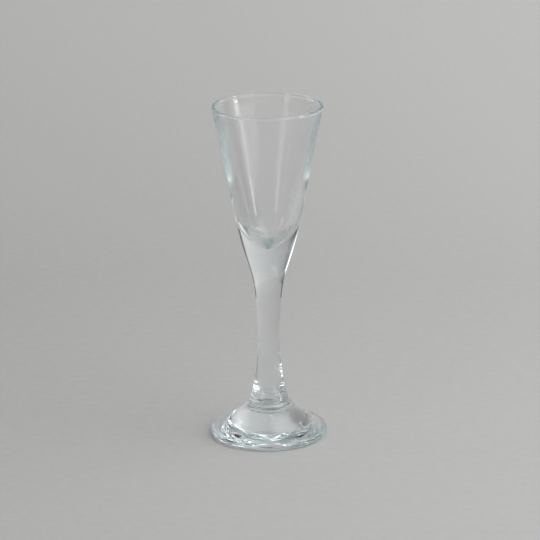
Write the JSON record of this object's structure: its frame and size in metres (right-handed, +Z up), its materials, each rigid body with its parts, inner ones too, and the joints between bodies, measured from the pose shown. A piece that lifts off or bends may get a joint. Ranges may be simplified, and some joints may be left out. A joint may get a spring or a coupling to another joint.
{
  "type": "cordial glass",
  "caption": "Tall flared cordial glass: a thin bowl on a solid funnel, a waisted solid stem and a heavy stepped foot, in clear glass with a faint green tint.",
  "frame": {"origin": "middle of the resting plane under the foot", "axes": "+Z up along the axis of the glass, from the foot to the rim; the glass is round, so X and Y are any two level directions"},
  "size_m": [0.0504, 0.0504, 0.146],
  "materials": {
    "bowl_glass": "fire-polished, clear",
    "stem_glass": "fire-polished, clear",
    "foot_glass": "pressed and fire-polished, clear"
  },
  "bodies": {
    "root": {"bowl": "bowl_glass", "stem": "stem_glass", "foot": "foot_glass"}
  },
  "joints": []
}
